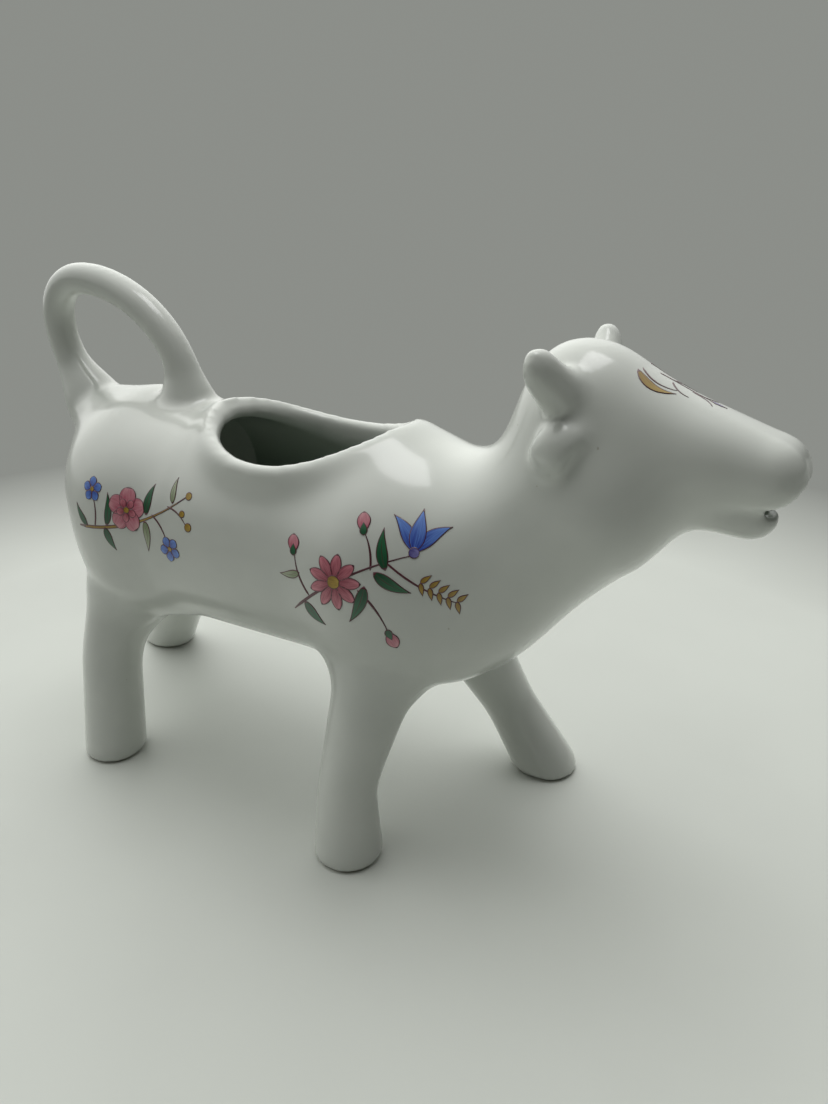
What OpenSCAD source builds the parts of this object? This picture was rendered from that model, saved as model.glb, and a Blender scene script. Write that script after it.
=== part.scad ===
// Cow creamer: a small white porcelain jug in the shape of a walking cow.
// It is filled through the saddle-shaped opening in the back, held by the looped tail and poured
// from the mouth. The pieces are the ones a potter lutes together with slip before the glaze firing:
// a hollow body, a hollow head, four legs, two ears, two horns and the tail.
// The cow faces +X, its left side is +Y, and the feet stand on z = 0. The origin is the middle of
// its footprint; inside the code x is counted from the middle of the two front feet.

/* [Stance] */
// Distance between the left and right foot centres
track = 49; // [46:1:52]
// Distance from the middle of the rear feet to the middle of the front feet
stance_l = 100; // [94:1:106]
// How far the left front foot stands ahead of the right one
front_stride = 25; // [16:1:32]
// How far the right rear foot stands ahead of the left one
rear_stride = 32; // [16:1:36]
// Diameter of a foot
foot_d = 15; // [12:0.2:16]
// Rounding round the sole of a foot
sole_round = 0.9; // [0.6:0.1:2.2]
// Thickness of a front leg at the knee
knee_d = 12.2; // [11:0.2:15]
// Thickness of a rear leg at the hock
hock_d = 14; // [11:0.2:16]
// Thickness at the top of a front leg
front_leg_top_d = 18.5; // [16:0.5:22]
// Thickness at the top of a rear leg
rear_leg_top_d = 19; // [16:0.5:24]
// Fillet where the legs run into the body
leg_fillet = 6; // [3:0.5:7]

/* [Body] */
// Height of the back above the table
back_z = 87; // [84:1:90]
// Depth of the barrel from back to belly
barrel_d = 51; // [48:1:55]
// Porcelain wall
wall = 3; // [2:0.1:3.6]
// Thickness of a haunch
haunch_d = 33; // [30:1:38]
// Thickness of a shoulder
shoulder_d = 32; // [28:1:36]
// Thickness of the chest
chest_d = 40; // [34:1:44]
// Thickness of the croup, where the tail springs
croup_d = 35; // [30:1:38]
// Fillet where one mass runs into the next
mass_fillet = 8; // [5:1:12]

/* [Filling opening] */
// Length of the opening, to the crest of its lip
opening_l = 45; // [38:1:50]
// Width of the opening, to the crest of its lip
opening_w = 39; // [32:1:42]
// How far the lip dips at the two sides
opening_dip = 5.3; // [3:0.1:7]
// Thickness of the rounded lip
lip_d = 3.6; // [3:0.1:4.4]

/* [Neck and head] */
// Thickness of the neck
neck_d = 37; // [34:1:40]
// Height of the poll above the table
poll_z = 108; // [105:1:112]
// Distance of the nose tip ahead of the middle of the front feet
nose_x = 60.4; // [56:0.2:66]
// Thickness of the skull
skull_d = 24; // [22:1:28]
// Thickness of the muzzle
muzzle_d = 18; // [16:0.5:21]
// Thickness of the lower lip
lower_lip_d = 9; // [7:0.5:11]
// Fillet between the parts of the head
head_fillet = 5; // [3:0.5:7]
// Tilt of the neck seam from upright
neck_seam_tilt = 39; // [30:1:45]

/* [Pouring mouth] */
// Width of the pouring slot
spout_w = 8; // [6:0.5:11]
// Height of the pouring slot
spout_h = 4.8; // [4.4:0.1:5.4]

/* [Horns and ears] */
// Distance between the horn tips
horn_span = 38; // [34:1:42]
// Depth of a horn at its root
horn_root_d = 10.6; // [9:0.2:12]
// Depth of a horn near its tip
horn_tip_d = 6.4; // [5:0.2:7]
// Distance between the ear tips
ear_span = 35; // [34:1:40]
// Width of an ear
ear_w = 7.6; // [6:0.2:9]
// Thickness of an ear
ear_d = 4.6; // [4:0.2:6]
// How far an ear droops below its root
ear_droop = 8; // [4:0.5:10]

/* [Tail] */
// Thickness of the looped tail
tail_d = 7.6; // [7:0.2:9.4]
// Height of the top of the loop above the table
tail_top_z = 114.4; // [110:0.2:118]
// Fillet at the roots of the loop
tail_fillet = 8; // [5:1:11]

/* [Hidden] */

glaze = [0.93, 0.945, 0.93];
right = -1;
left = 1;
// A cutter passes this far beyond the surface it cuts
overrun = 1;
// A point counts as lying on a surface when it is this near
near_enough = 0.005;

// A mass is a round limb between two balls: its first centre, the way to the second and the radii
function mass(a, a_d, b, b_d) = [a, b - a, (b - a) * (b - a), a_d / 2, (b_d - a_d) / 2];
function depth_in(p, m) =
    let (d = p - m[0], t = min(1, max(0, d * m[1] / m[2])))
    norm(d - t * m[1]) - m[3] - t * m[4];
// Two depths joined with a fillet of width k
function blend(a, b, k) = let (h = max(k - abs(a - b), 0) / k) min(a, b) - h * h * k / 4;
function both_sides(p) = [p.x, abs(p.y), p.z];
// A place along the cow: behind the front feet it is a share of the stance, and ahead of them a
// share of the way to the nose
function along(share) = share < 0 ? stance_l * share : nose_x * share;
// A place on the cow, from its shares of the length, the track and the height of the back
function at(shares) = [along(shares[0]), track * shares[1], back_z * shares[2]];
function bezier(a, b, c, t) = (1 - t) * (1 - t) * a + 2 * t * (1 - t) * b + t * t * c;
function heading(a) = [cos(a), 0, sin(a)];

// Trunk
barrel_shares = [[-0.745, 0, 0.69], [-0.14, 0, 0.705]];
croup_shares = [[-0.90, 0, 0.83], [-1.02, 0, 0.92]];
haunch_shares = [[-0.79, 0.16, 0.75], [-0.78, 0.20, 0.58]];
shoulder_shares = [[-0.12, 0.18, 0.69], [-0.11, 0.22, 0.63]];
chest_shares = [[-0.05, 0, 0.645], [0, 0, 0.68]];
neck_shares = [[0, 0, 0.66], [0.385, 0, 0.905]];
taper = 0.9;
croup_end_share = 2.0;
barrel = mass(at(barrel_shares[0]), barrel_d, at(barrel_shares[1]), barrel_d);
croup = mass(at(croup_shares[0]), croup_d, at(croup_shares[1]), tail_d * croup_end_share);
haunch = mass(at(haunch_shares[0]), haunch_d, at(haunch_shares[1]), haunch_d * taper);
shoulder = mass(at(shoulder_shares[0]), shoulder_d, at(shoulder_shares[1]), shoulder_d * taper);
chest = mass(at(chest_shares[0]), chest_d, at(chest_shares[1]), chest_d * taper);
neck = mass(at(neck_shares[0]), neck_d, at(neck_shares[1]), neck_d * 0.86);
function trunk(p) =
    let (
        q = both_sides(p),
        a = blend(depth_in(q, barrel), depth_in(q, haunch), mass_fillet),
        b = blend(a, depth_in(q, shoulder), mass_fillet),
        c = blend(b, depth_in(q, chest), mass_fillet),
        d = blend(c, depth_in(q, croup), mass_fillet)
    )
    blend(d, depth_in(q, neck), mass_fillet);

// Lip of the filling opening: a bead along a saddle-shaped ring
opening_x = -stance_l * 0.355;
lip_r = lip_d / 2;
function lip_point(t, inset) =
    [opening_x + (opening_l / 2 - inset) * cos(t), (opening_w / 2 - inset) * sin(t),
     back_z - 0.4 * lip_r - lip_r - opening_dip * sin(t) * sin(t)];
function lip(p) =
    let (t = atan2(p.y / opening_w, (p.x - opening_x) / opening_l))
    norm(p - lip_point(t, 0)) - lip_r;

// Head
skull_z = poll_z - skull_d * 0.595;
nose_z = poll_z - muzzle_d * 1.11;
skull = mass([along(0.40), 0, skull_z], skull_d, [along(0.415), 0, skull_z], skull_d);
poll = mass([along(0.365), 0, poll_z - skull_d * 0.38], skull_d * 0.6,
    [along(0.40), 0, poll_z - skull_d * 0.40], skull_d * 0.6);
muzzle = mass([along(0.60), 0, nose_z + muzzle_d * 0.11], muzzle_d * 1.2,
    [nose_x - muzzle_d * 0.33, muzzle_d * 0.12, nose_z + muzzle_d * 0.02], muzzle_d * 0.66);
lower_lip = mass([along(0.66), 0, nose_z - muzzle_d * 0.21], lower_lip_d * 1.5,
    [nose_x - lower_lip_d * 0.86, 0, nose_z - muzzle_d * 0.39], lower_lip_d);
jaw = mass([along(0.515), skull_d * 0.12, nose_z - muzzle_d * 0.38], skull_d * 0.86,
    [along(0.695), 0, nose_z - muzzle_d * 0.14], muzzle_d * 0.8);
function face(p) =
    let (
        q = both_sides(p),
        a = blend(depth_in(q, skull), depth_in(q, poll), head_fillet),
        b = blend(a, depth_in(q, muzzle), head_fillet),
        c = blend(b, depth_in(q, jaw), head_fillet)
    )
    blend(c, depth_in(q, lower_lip), head_fillet / 6);

// Legs: top, knee or hock and foot of each, with the thickness there
function foot_x(side, front) = front ? side * front_stride / 2 : -stance_l - side * rear_stride / 2;
front_top_shares = [-0.10, 0.27, 0.52];
rear_top_shares = [-0.83, 0.25, 0.54];
knee_share = 0.64;
hock_share = 0.45;
joint_set_back = stance_l * 0.02;
joint_set_out = track * 0.05;
function leg_masses(side, front) =
    let (
        s = front ? front_top_shares : rear_top_shares,
        top = at([s[0], s[1] * side, s[2]]),
        foot = [foot_x(side, front), side * track / 2, 0],
        set = [-joint_set_back, side * joint_set_out, 0],
        joint = top + (foot - top) * (front ? knee_share : hock_share) + set,
        joint_d = front ? knee_d : hock_d,
        top_d = front ? front_leg_top_d : rear_leg_top_d
    )
    [mass(top, top_d, joint, joint_d), mass(joint, joint_d, foot, foot_d)];

// Tail: a tube along a loop in the mid-plane, up from the opening and down to the croup.
// Each row is a share of the stance and a share of the height of the loop.
tail_front_shares = [[-0.70, 0.69], [-0.675, 0.878], [-0.868, 0.970], [-1.01, 0.970]];
tail_rear_shares = [[-1.01, 0.970], [-1.105, 0.970], [-1.23, 0.88], [-0.95, 0.63]];
function cubic(s, t) =
    let (u = 1 - t, w = u * (u * u * s[0] + 3 * u * t * s[1] + 3 * t * t * s[2]) + t * t * t * s[3])
    [stance_l * w[0], 0, tail_top_z * w[1]];
function tail_point(t) = t < 0.5 ? cubic(tail_front_shares, 2 * t) : cubic(tail_rear_shares, 2 * t - 1);
tail_rings = 30;
tail_masses = [for (i = [0:tail_rings - 1])
    mass(tail_point(i / tail_rings), tail_d, tail_point((i + 1) / tail_rings), tail_d)];
function tail(p) = min([for (m = tail_masses) depth_in(p, m)]);

// The forms that rays are cast at: the glazed outside, the hollow inside, and a limb run into
// the outside with a fillet. A limb is a list of masses.
neck_start = -stance_l * 0.15;
function with_head(p, f) = p.x > neck_start ? blend(f, face(p), mass_fillet) : f;
function outside(p) =
    let (f = trunk(p))
    p.z > back_z * 0.75 && p.x < 0 && p.x > -stance_l * 0.75
        ? blend(f, lip(p), lip_d * 1.5)
        : with_head(p, f);
function inside(p) = with_head(p, trunk(p)) + wall;
function limb(p, masses, fillet) = blend(outside(p), min([for (m = masses) depth_in(p, m)]), fillet);
function form(p, limb_masses, fillet) =
    fillet > 0 ? limb(p, limb_masses, fillet)
    : fillet < 0 ? inside(p)
    : outside(p);
// The distance along a ray at which it leaves the form, up to a limit: steps that never pass the
// surface, then chords
function reach(c, d, m, k, limit) =
    let (t = march(c, d, m, k, 0, 7, limit))
    t >= limit ? limit
    : let (f = form(c + t * d, m, k))
      min(limit, max(t, chord(c, d, m, k, t, f, t - f, form(c + (t - f) * d, m, k), 4)));
function march(c, d, m, k, t, n, limit) =
    n == 0 || t >= limit ? t : march(c, d, m, k, t - form(c + t * d, m, k), n - 1, limit);
function chord(c, d, m, k, t0, f0, t1, f1, n) =
    n == 0 || abs(f1) < near_enough || f1 == f0 ? t1
    : let (t2 = t1 - f1 * (t1 - t0) / (f1 - f0))
      chord(c, d, m, k, t1, f1, t2, form(c + t2 * d, m, k), n - 1);
skin = 0;
hollow = -1;

// A closed solid over rings of n points each, with a point or a flat face at either end
function loft_faces(rings, n, start_point, end_point) = let (last = (rings - 1) * n) concat(
    start_point ? [for (i = [0:n - 1]) [rings * n, i, (i + 1) % n]] : [[for (i = [0:n - 1]) i]],
    [for (r = [0:rings - 2]) for (i = [0:n - 1])
        let (a = r * n + i, b = r * n + (i + 1) % n)
        each [[a, b + n, b], [a, a + n, b + n]]],
    end_point
        ? [for (i = [0:n - 1]) [last + i, last + n + (start_point ? 1 : 0), last + (i + 1) % n]]
        : [[for (i = [n - 1:-1:0]) last + i]]
);
module loft(rings, start_point, end_point) {
    ends = concat(start_point ? [start_point] : [], end_point ? [end_point] : []);
    polyhedron(
        points = concat([for (r = rings) each r], ends),
        faces = loft_faces(len(rings), len(rings[0]), is_list(start_point), is_list(end_point)),
        convexity = 8
    );
}

// Rays of a skin leave a station: its centre, its heading, the opening of the cone of rays, and
// the height of the lip's crest, in degrees, which the rays crowd toward
half_around = 22;
lip_rays = 4;
function ray_angle(i, crest, ease) =
    let (n = half_around - lip_rays, u = min(1, i / n))
    i <= n ? -90 + (crest + 90) * (1 - pow(1 - u, ease)) : crest + (90 - crest) * (i - n) / lip_rays;
function round_angle(i, crest, ease) =
    i <= half_around ? ray_angle(i, crest, ease) : 180 - ray_angle(2 * half_around - i, crest, ease);
even_crest = 90 - 180 * lip_rays / half_around;
function station_ring(s, kind) =
    let (
        lead = heading(s[1]),
        up = heading(s[1] + 90),
        crowd = s[3],
        crest = even_crest + (s[4] - even_crest) * crowd
    )
    [for (i = [0:2 * half_around - 1])
        let (
            t = round_angle(i, crest, 1 + 0.4 * crowd),
            d = cos(s[2]) * lead + sin(s[2]) * (cos(t) * [0, 1, 0] + sin(t) * up)
        )
        s[0] + reach(s[0], d, [], kind, stance_l) * d];
function pole(s, kind) = let (d = heading(s[1])) s[0] + reach(s[0], d, [], kind, stance_l) * d;

// Stations: a cone round the rump, a run along the barrel that crowds at the two ends of the
// opening, and a bend up the neck to its seam
spine_z = back_z * 0.70;
rear_station = [-stance_l * 0.77, 0, spine_z];
neck_seam = [along(0.3725), 0, back_z * 0.91];
neck_bend = [along(0.1325), 0, spine_z];
behind_shares = [-1.62, -1.38, -1.22, -1.12, -1.05];
ahead_shares = [1.05, 1.12, 1.22];
steep = 84;
function crest_angle(u) =
    abs(u) < 1
        ? min(steep, atan2(lip_point(acos(u), 0).z - spine_z, opening_w / 2 * sqrt(1 - u * u)))
        : steep;
function crowding(u) = 1 - min(1, max(0, abs(u) - 1) / 0.5);
function barrel_station(u) =
    [[opening_x + u * opening_l / 2, 0, spine_z], 0, 90, crowding(u), crest_angle(u)];
function rear_cone(n) = [for (i = [1:n]) [rear_station, 0, 180 - 90 * i / n, 0, even_crest]];
neck_root = barrel_station(ahead_shares[2])[0];
function neck_run(n) = [for (i = [1:n])
    let (t = i / n)
    [bezier(neck_root, neck_bend, neck_seam, t), neck_seam_tilt * t, 90, max(0, 0.4 - t), steep]];
opening_steps = 14;
outer_stations = concat(
    rear_cone(9),
    [for (u = behind_shares) barrel_station(u)],
    [for (i = [0:opening_steps]) barrel_station(-cos(180 * i / opening_steps))],
    [for (u = ahead_shares) barrel_station(u)],
    neck_run(8)
);
function plain(s) = [s[0], s[1], s[2], 0, even_crest];
past_seam = [neck_seam + overrun * heading(neck_seam_tilt), neck_seam_tilt, 90, 0, even_crest];
inner_stations = concat(
    rear_cone(6),
    [for (u = [-1.5:0.4:0.9]) plain(barrel_station(u))],
    [for (s = neck_run(5)) plain(s)],
    [past_seam]
);
rear_point = [rear_station, 180];

module body_skin() {
    loft([for (s = outer_stations) station_ring(s, skin)], start_point = pole(rear_point, skin));
}
// The cutter for the opening: a quarter round over the inner half of the lip, straight above and below
opening_rays = 40;
module opening_cutter() {
    function ring(inset, rise) = [for (i = [0:opening_rays - 1])
        let (t = 360 * i / opening_rays) lip_point(t, inset) + [0, 0, rise]];
    function level(ring, z) = [for (p = ring) [p.x, p.y, z]];
    loft(concat(
        [level(ring(lip_r, 0), back_z * 0.80)],
        [for (a = [90:-30:0]) ring(lip_r * sin(a), lip_r * cos(a))],
        [level(ring(0, 0), back_z + lip_d)]
    ));
}
module body_shell() {
    color(glaze)
    difference() {
        body_skin();
        loft([for (s = inner_stations) station_ring(s, hollow)], start_point = pole(rear_point, hollow));
        opening_cutter();
    }
}

// The head's stations bend down from the seam to the muzzle, and a cone closes the nose
muzzle_station = [along(0.828), 0, nose_z - muzzle_d * 0.16];
head_bend = [along(0.546), 0, poll_z - skull_d * 0.52];
nose_droop = -15;
function head_run(n) = [for (i = [0:n])
    let (t = i / n, turn = neck_seam_tilt + (nose_droop - neck_seam_tilt) * t)
    [bezier(neck_seam, head_bend, muzzle_station, t), turn, 90, 0, even_crest]];
function nose_cone(n) =
    [for (i = [n - 1:-1:1]) [muzzle_station, nose_droop, 90 * i / n, 0, even_crest]];
nose_point = [muzzle_station, nose_droop];
before_seam = [neck_seam - overrun * heading(neck_seam_tilt), neck_seam_tilt, 90, 0, even_crest];
module head_skin() {
    loft(
        [for (s = concat(head_run(11), nose_cone(10))) station_ring(s, skin)],
        end_point = pole(nose_point, skin)
    );
}
module pouring_slot() {
    translate([muzzle_station.x - muzzle_d / 4, 0, nose_z - muzzle_d * 0.22])
    rotate([90, 0, 90])
    linear_extrude(muzzle_d) {
        square([spout_w - spout_h, spout_h], center = true);
        translate([(spout_w - spout_h) / 2, 0]) circle(d = spout_h, $fn = 24);
        translate([-(spout_w - spout_h) / 2, 0]) circle(d = spout_h, $fn = 24);
    }
}
module head_shell() {
    color(glaze)
    difference() {
        head_skin();
        loft(
            [for (s = concat([before_seam], head_run(7), nose_cone(5))) station_ring(s, hollow)],
            end_point = pole(nose_point, hollow)
        );
        pouring_slot();
    }
}

// Legs: level rings round the leg's axis, flared into the body and drawn under its skin at the top
leg_sides = 24;
leg_rise_shares = [
    0.06, 0.12, 0.19, 0.26, 0.33, 0.40, 0.47, 0.54,
    0.61, 0.67, 0.73, 0.79, 0.85, 0.90, 0.95, 1
];
leg_top_z = back_z * 0.64;
leg_merge_z = back_z * 0.50;
leg_dive = 0.35;
function axis_at(m, z) =
    let (top = m[0][0], joint = m[1][0], foot = joint + m[1][1])
    z > joint.z
        ? joint + (top - joint) * (z - joint.z) / (top.z - joint.z)
        : foot + (joint - foot) * z / joint.z;
function leg_ring(m, z, inset) =
    let (c = axis_at(m, z), widest = foot_d / 2 + leg_fillet * 1.2)
    [for (i = [0:leg_sides - 1])
        let (t = 360 * i / leg_sides, d = [cos(t), sin(t), 0])
        c + (reach(c, d, m, leg_fillet, widest) - inset) * d];
function lowered(ring, z) = [for (p = ring) [p.x, p.y, z]];
module leg(side, front) {
    m = leg_masses(side, front);
    color(glaze)
    difference() {
        loft(concat(
            [for (a = [0:30:90])
                lowered(leg_ring(m, sole_round, sole_round * (1 - sin(a))), sole_round * (1 - cos(a)))],
            [for (s = leg_rise_shares)
                let (z = leg_top_z * s)
                leg_ring(m, z, max(0, z - leg_merge_z) * leg_dive)]
        ));
        body_skin();
    }
}

// Horns and ears: bent tapered lobes, oval in section, which start inside the head
lobe_sides = 20;
lobe_rings = 12;
lobe_round = 0.8;
function lobe_size(t) = t < lobe_round ? 1 : sqrt(1 - pow((t - lobe_round) / (1 - lobe_round), 2));
module lobe(a, b, c, root_size, tip_size) {
    lead = (c - a) / norm(c - a);
    across = cross(lead, [1, 0, 0]);
    up = across / norm(across) * sign(across.z);
    loft([for (i = [0:lobe_rings])
        let (
            t = (i + 0.2) / (lobe_rings + 0.25),
            size = lobe_size(t) * (root_size + (tip_size - root_size) * t) / 2
        )
        [for (j = [0:lobe_sides - 1])
            let (q = 360 * j / lobe_sides)
            bezier(a, b, c, t) + size[0] * cos(q) * up + size[1] * sin(q) * cross(lead, up)]]);
}
horn_flat_share = 0.75;
horn_bend_share = 0.85;
horn_tip_share = 0.15;
module horn(side) {
    color(glaze)
    difference() {
        lobe(
            [along(0.40), side * horn_span * 0.16, poll_z - horn_root_d],
            [along(0.3725), side * horn_span * 0.33, poll_z - horn_root_d * horn_bend_share],
            [along(0.335), side * horn_span / 2, poll_z - horn_root_d * horn_tip_share],
            [horn_root_d, horn_root_d * horn_flat_share], [horn_tip_d, horn_tip_d * horn_flat_share]
        );
        head_skin();
    }
}
ear_root_z = poll_z - skull_d * 0.56;
module ear(side) {
    color(glaze)
    difference() {
        lobe(
            [along(0.447), side * ear_span * 0.20, ear_root_z],
            [along(0.40), side * ear_span * 0.48, ear_root_z],
            [along(0.356), side * (ear_span - ear_d) / 2, ear_root_z - ear_droop],
            [ear_d, ear_w * 0.9], [ear_d, ear_w]
        );
        head_skin();
    }
}

// Tail: rings across the loop, flared into the croup and drawn under its skin at both ends
tail_sides = 18;
tail_flare = tail_fillet * 0.9;
function tail_ring(t) =
    let (
        c = tail_point(t),
        way = tail_point(min(1, t + 0.01)) - tail_point(max(0, t - 0.01)),
        lead = way / norm(way),
        up = [-lead.z, 0, lead.x],
        near_root = max(0, 1 - 5 * min(t, 1 - t)),
        sunk = tail_d / 2 * max(0, 1 - 14 * min(t, 1 - t)),
        widest = tail_d / 2 + tail_flare * near_root
    )
    [for (i = [0:tail_sides - 1])
        let (q = 360 * i / tail_sides, d = cos(q) * [0, 1, 0] - sin(q) * up)
        c + (reach(c, d, tail_masses, tail_fillet, widest) - sunk) * d];
module tail_handle() {
    color(glaze)
    difference() {
        loft([for (i = [0:tail_rings]) tail_ring(i / tail_rings)]);
        body_skin();
    }
}

// The whole cow stands with the middle of its footprint over the origin
rear_x = foot_x(left, false) - foot_d / 2;
module placed() {
    translate([-(nose_x + rear_x) / 2, 0, 0]) children();
}
placed() body_shell();
placed() head_shell();
placed() leg(right, true);  // right_front_leg
placed() leg(left, true);  // left_front_leg
placed() leg(right, false);  // right_rear_leg
placed() leg(left, false);  // left_rear_leg
placed() ear(right);  // right_ear
placed() ear(left);  // left_ear
placed() horn(right);  // right_horn
placed() horn(left);  // left_horn
placed() tail_handle();
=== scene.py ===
# %% [markdown]
# A cow creamer is a small porcelain jug. Cream goes in through the opening over its back, the looped
# tail is the handle, and the mouth pours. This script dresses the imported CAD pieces. They arrive as
# faceted solids in metres, and one shared frame keeps every dressed piece where its CAD piece is.

import math

import bpy
import numpy as np
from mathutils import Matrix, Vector
from mathutils.bvhtree import BVHTree


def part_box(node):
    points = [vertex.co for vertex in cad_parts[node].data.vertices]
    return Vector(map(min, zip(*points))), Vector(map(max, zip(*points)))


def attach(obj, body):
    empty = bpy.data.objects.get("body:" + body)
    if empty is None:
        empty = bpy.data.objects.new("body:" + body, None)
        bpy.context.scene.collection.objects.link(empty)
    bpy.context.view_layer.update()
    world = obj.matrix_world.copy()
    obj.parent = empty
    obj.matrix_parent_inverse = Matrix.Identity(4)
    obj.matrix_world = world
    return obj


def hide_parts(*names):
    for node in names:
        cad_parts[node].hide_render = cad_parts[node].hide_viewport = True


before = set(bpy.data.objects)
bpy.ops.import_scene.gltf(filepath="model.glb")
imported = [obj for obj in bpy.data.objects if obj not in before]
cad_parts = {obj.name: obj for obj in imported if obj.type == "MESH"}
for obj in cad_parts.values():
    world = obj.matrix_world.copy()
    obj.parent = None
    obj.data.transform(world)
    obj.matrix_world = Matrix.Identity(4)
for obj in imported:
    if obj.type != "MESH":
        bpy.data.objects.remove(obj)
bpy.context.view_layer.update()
MM = 0.001
TINY = 1e-9
# The camera, the neck, the face and the hollow are placed by x counted from this point of the frame.
FEET_X = 31.55 * MM

# %% [markdown]
# The camera stands where the photograph was taken from: beside the cow's head on its right, a little
# above the top of the tail, tipped down and turned back toward the body. Its lens and place were
# worked out from the four feet and the pair of horns, so it is set by numbers and not by eye.

# %% Camera
CAMERA_SENSOR = 36
CAMERA_LENS = 27.03
CAMERA_NEAR = 5 * MM
CAMERA_TURN = 30.6
CAMERA_TIP = 22.9
CAMERA_PLACE = (69.8 * MM + FEET_X, -136.4 * MM, 127.5 * MM)
camera_data = bpy.data.cameras.new("photo_camera")
camera_data.sensor_width = CAMERA_SENSOR
camera_data.lens = CAMERA_LENS
camera_data.clip_start = CAMERA_NEAR
camera = bpy.data.objects.new("photo_camera", camera_data)
camera.location = CAMERA_PLACE
camera.rotation_euler = (math.radians(90 - CAMERA_TIP), 0, math.radians(CAMERA_TURN))
bpy.context.scene.collection.objects.link(camera)
bpy.context.scene.camera = camera
print("camera at", [round(v / MM) for v in camera.location], "mm")

# %% [markdown]
# Operators act on whatever is selected, so every step starts from a clean selection. These small
# helpers do that. They read places and normals as arrays, and open a mesh for editing with all of it
# selected, or with only the corners, edges or faces that a mask names.

# %% Selection helpers
PICK_MODES = {"vertices": "VERT", "edges": "EDGE", "polygons": "FACE"}


def only(*objects):
    bpy.ops.object.select_all(action="DESELECT")
    for obj in objects:
        obj.select_set(True)
    bpy.context.view_layer.objects.active = objects[0]


def read_vectors(items, key):
    values = np.empty(len(items) * 3)
    items.foreach_get(key, values)
    return values.reshape(-1, 3)


def corners(obj):
    return read_vectors(obj.data.vertices, "co")


def corner_normals(obj):
    return read_vectors(obj.data.vertices, "normal")


def middles(obj):
    return read_vectors(obj.data.polygons, "center")


def edit_all(obj, mode="VERT"):
    only(obj)
    bpy.ops.object.mode_set(mode="EDIT")
    bpy.ops.mesh.select_mode(type=mode)
    bpy.ops.mesh.select_all(action="SELECT")


def done_editing():
    bpy.ops.object.mode_set(mode="OBJECT")


def edit_picked(obj, kind, mask):
    edit_all(obj, PICK_MODES[kind])
    bpy.ops.mesh.select_all(action="DESELECT")
    done_editing()
    getattr(obj.data, kind).foreach_set("select", mask)
    bpy.ops.object.mode_set(mode="EDIT")


def apply_modifier(obj, kind, **settings):
    only(obj)
    modifier = obj.modifiers.new(kind.lower(), kind)
    for name, value in settings.items():
        setattr(modifier, name, value)
    bpy.ops.object.modifier_apply(modifier=modifier.name)


def surface_tree(obj):
    return BVHTree.FromPolygons(
        [Vector(place) for place in corners(obj)], [face.vertices[:] for face in obj.data.polygons]
    )


# %% [markdown]
# A potter joins the cast pieces with wet slip and sponges the seams away before the glaze goes on.
# The same is done here. Each CAD piece is copied and merged, the neck's two halves are opened to
# each other, and the limbs are pushed a little way into the wall they stand on.

# %% Clay copies of the cast pieces
NECK_SEAM = Vector((22.5 * MM + FEET_X, 0, 79.17 * MM))
NECK_TILT = math.radians(39)
NECK_WAY = Vector((math.cos(NECK_TILT), 0, math.sin(NECK_TILT)))
ON_SEAM = 0.05 * MM
SEAM_SQUARE = 0.99
MERGE_GAP = 0.002 * MM
NECK_MERGE_GAP = 0.02 * MM
ROOT_SEARCH = 0.2 * MM
ROOT_GAP = 0.05 * MM
LUTING_DEPTH = 1.2 * MM
PUSH_IN = {
    "right_front_leg": (0, 0.4, 1),
    "left_front_leg": (0, -0.4, 1),
    "right_rear_leg": (0, 0.4, 1),
    "left_rear_leg": (0, -0.4, 1),
    "tail_handle": (0.3, 0, -1),
    "right_ear": (0.5, 1, 0),
    "left_ear": (0.5, -1, 0),
    "right_horn": (0.5, 1, -0.3),
    "left_horn": (0.5, -1, -0.3),
}
SHELLS = ["body_shell", "head_shell"]
NODES = SHELLS + list(PUSH_IN)
cast_tree = {node: surface_tree(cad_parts[node]) for node in NODES}


def merge(obj, gap):
    edit_all(obj)
    bpy.ops.mesh.remove_doubles(threshold=gap)
    done_editing()


def clay_copy(node):
    clay = bpy.data.objects.new(node + "_clay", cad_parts[node].data.copy())
    clay.data.materials.clear()
    bpy.context.scene.collection.objects.link(clay)
    merge(clay, MERGE_GAP)
    return clay


def off_seam(places):
    return (places - np.array(NECK_SEAM)) @ np.array(NECK_WAY)


body_clay = clay_copy("body_shell")
head_clay = clay_copy("head_shell")
for half in (body_clay, head_clay):
    normals = np.array([face.normal for face in half.data.polygons])
    square = abs(normals @ np.array(NECK_WAY)) > SEAM_SQUARE
    seam = (abs(off_seam(middles(half))) < ON_SEAM) & square
    print(half.name, "opens", int(seam.sum()), "faces at the neck seam")
    edit_picked(half, "polygons", seam)
    bpy.ops.mesh.delete(type="FACE")
    done_editing()
only(body_clay, head_clay)
bpy.ops.object.join()
merge(body_clay, NECK_MERGE_GAP)


def gap_to(node, place, reach):
    near, _, _, gap = cast_tree[node].find_nearest(place, reach)
    return reach if near is None else gap


def limb_clay(node, push):
    clay = clay_copy(node)
    rooted = []
    for place in corners(clay):
        wall = min(gap_to(shell, Vector(place), ROOT_SEARCH) for shell in SHELLS)
        rooted.append(wall < ROOT_GAP)
    print(node, "has", sum(rooted), "corners on the wall it stands on")
    edit_picked(clay, "vertices", rooted)
    bpy.ops.transform.translate(value=Vector(push) * LUTING_DEPTH)
    done_editing()
    return clay


limbs = [limb_clay(node, push) for node, push in PUSH_IN.items()]

# %% [markdown]
# Facets are fine for a solid that is only measured, but glaze shows every one. Triangles are turned
# back into the four-sided faces they came from, sharp edges are creased so that they stay, and a
# subdivision surface bends the rest. A voxel remesh then makes one skin of all the pieces, and a
# smoothing pass does what the potter's sponge does.

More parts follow.
